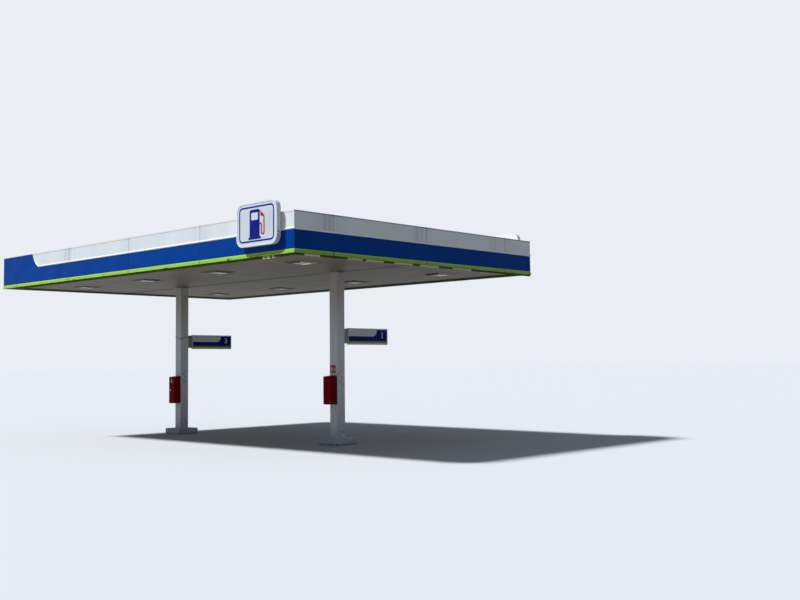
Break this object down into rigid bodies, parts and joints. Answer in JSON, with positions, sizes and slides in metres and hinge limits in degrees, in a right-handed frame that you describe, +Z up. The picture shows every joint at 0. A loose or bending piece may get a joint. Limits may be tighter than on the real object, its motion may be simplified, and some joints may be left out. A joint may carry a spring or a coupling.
{
  "type": "filling station canopy",
  "caption": "Flat forecourt canopy on square columns with a white, blue and green fascia, ribbed roof, board soffit, lights, sign boxes, pump number flags and extinguisher cabinets.",
  "frame": {"origin": "on the ground, midway between the two columns, under the middle of the roof", "axes": "+X along the long fascias towards the end with the white band, +Y towards the long side with the number flags, +Z up"},
  "size_m": [12.79, 8.26, 5.373],
  "materials": {
    "blue_coat": "blue polyester powder coat, semi-gloss",
    "bracket_steel": "grey-brown paint on steel",
    "column_paint": "white paint on steel, satin, chalky",
    "concrete_paint": "white masonry paint on concrete, dirty, matt",
    "galvanised_steel": "hot dip galvanised sheet, matt",
    "green_coat": "yellow-green powder coat, glossy",
    "lamp_glass": "frosted lamp glass",
    "lamp_housing": "grey coated lamp tray",
    "plate_enamel": "red and white enamelled plate",
    "red_plastic": "red moulded plastic cabinet",
    "sign_plastic": "white acrylic sign box",
    "soffit_metal": "off-white coated metal boards, dusty",
    "structural_steel": "grey primer on rolled steel",
    "white_coat": "white polyester powder coat, semi-gloss",
    "white_trim": "white coated aluminium moulding"
  },
  "bodies": {
    "canopy": {"plinth_left": "concrete_paint", "plinth_right": "concrete_paint", "column_left": "column_paint", "column_right": "column_paint", "main_beam": "structural_steel", "cross_beams": "structural_steel", "roof_purlins": "galvanised_steel", "roof_gutter": "galvanised_steel", "roof_deck_front": "galvanised_steel", "roof_deck_back": "galvanised_steel", "fascia_frame": "structural_steel", "soffit_rails": "structural_steel", "soffit_front": "soffit_metal", "soffit_back": "soffit_metal", "blue_fascia_front": "blue_coat", "blue_fascia_right": "blue_coat", "blue_fascia_back": "blue_coat", "blue_fascia_left": "blue_coat", "white_fascia_front": "white_coat", "white_fascia_right": "white_coat", "white_fascia_back": "white_coat", "fascia_bead_front": "white_trim", "fascia_bead_right": "white_trim", "fascia_bead_back": "white_trim", "green_trim_front": "green_coat", "green_trim_right": "green_coat", "green_trim_back": "green_coat", "green_trim_left": "green_coat", "coping_front": "white_coat", "coping_right": "white_coat", "coping_back": "white_coat", "coping_left": "blue_coat", "soffit_lights": "lamp_housing", "light_glasses": "lamp_glass", "sign_box_front": "sign_plastic", "sign_box_back": "sign_plastic", "flag_bracket_left": "bracket_steel", "flag_bracket_right": "bracket_steel", "number_flag_left": "sign_plastic", "number_flag_right": "sign_plastic", "cabinet_left": "red_plastic", "cabinet_right": "red_plastic", "pictogram_plate": "plate_enamel"},
    "left_door": {"cabinet_door_left": "red_plastic"},
    "right_door": {"cabinet_door_right": "red_plastic"}
  },
  "joints": [
    {"name": "left_door_hinge", "type": "hinge", "parent": "canopy", "child": "left_door", "pos_m": [-3.1995, -0.295, 0.895], "axis": [0, 0, 1], "range_deg": [0, 110]},
    {"name": "right_door_hinge", "type": "hinge", "parent": "canopy", "child": "right_door", "pos_m": [3.4805, -0.295, 0.998], "axis": [0, 0, 1], "range_deg": [0, 110]}
  ]
}
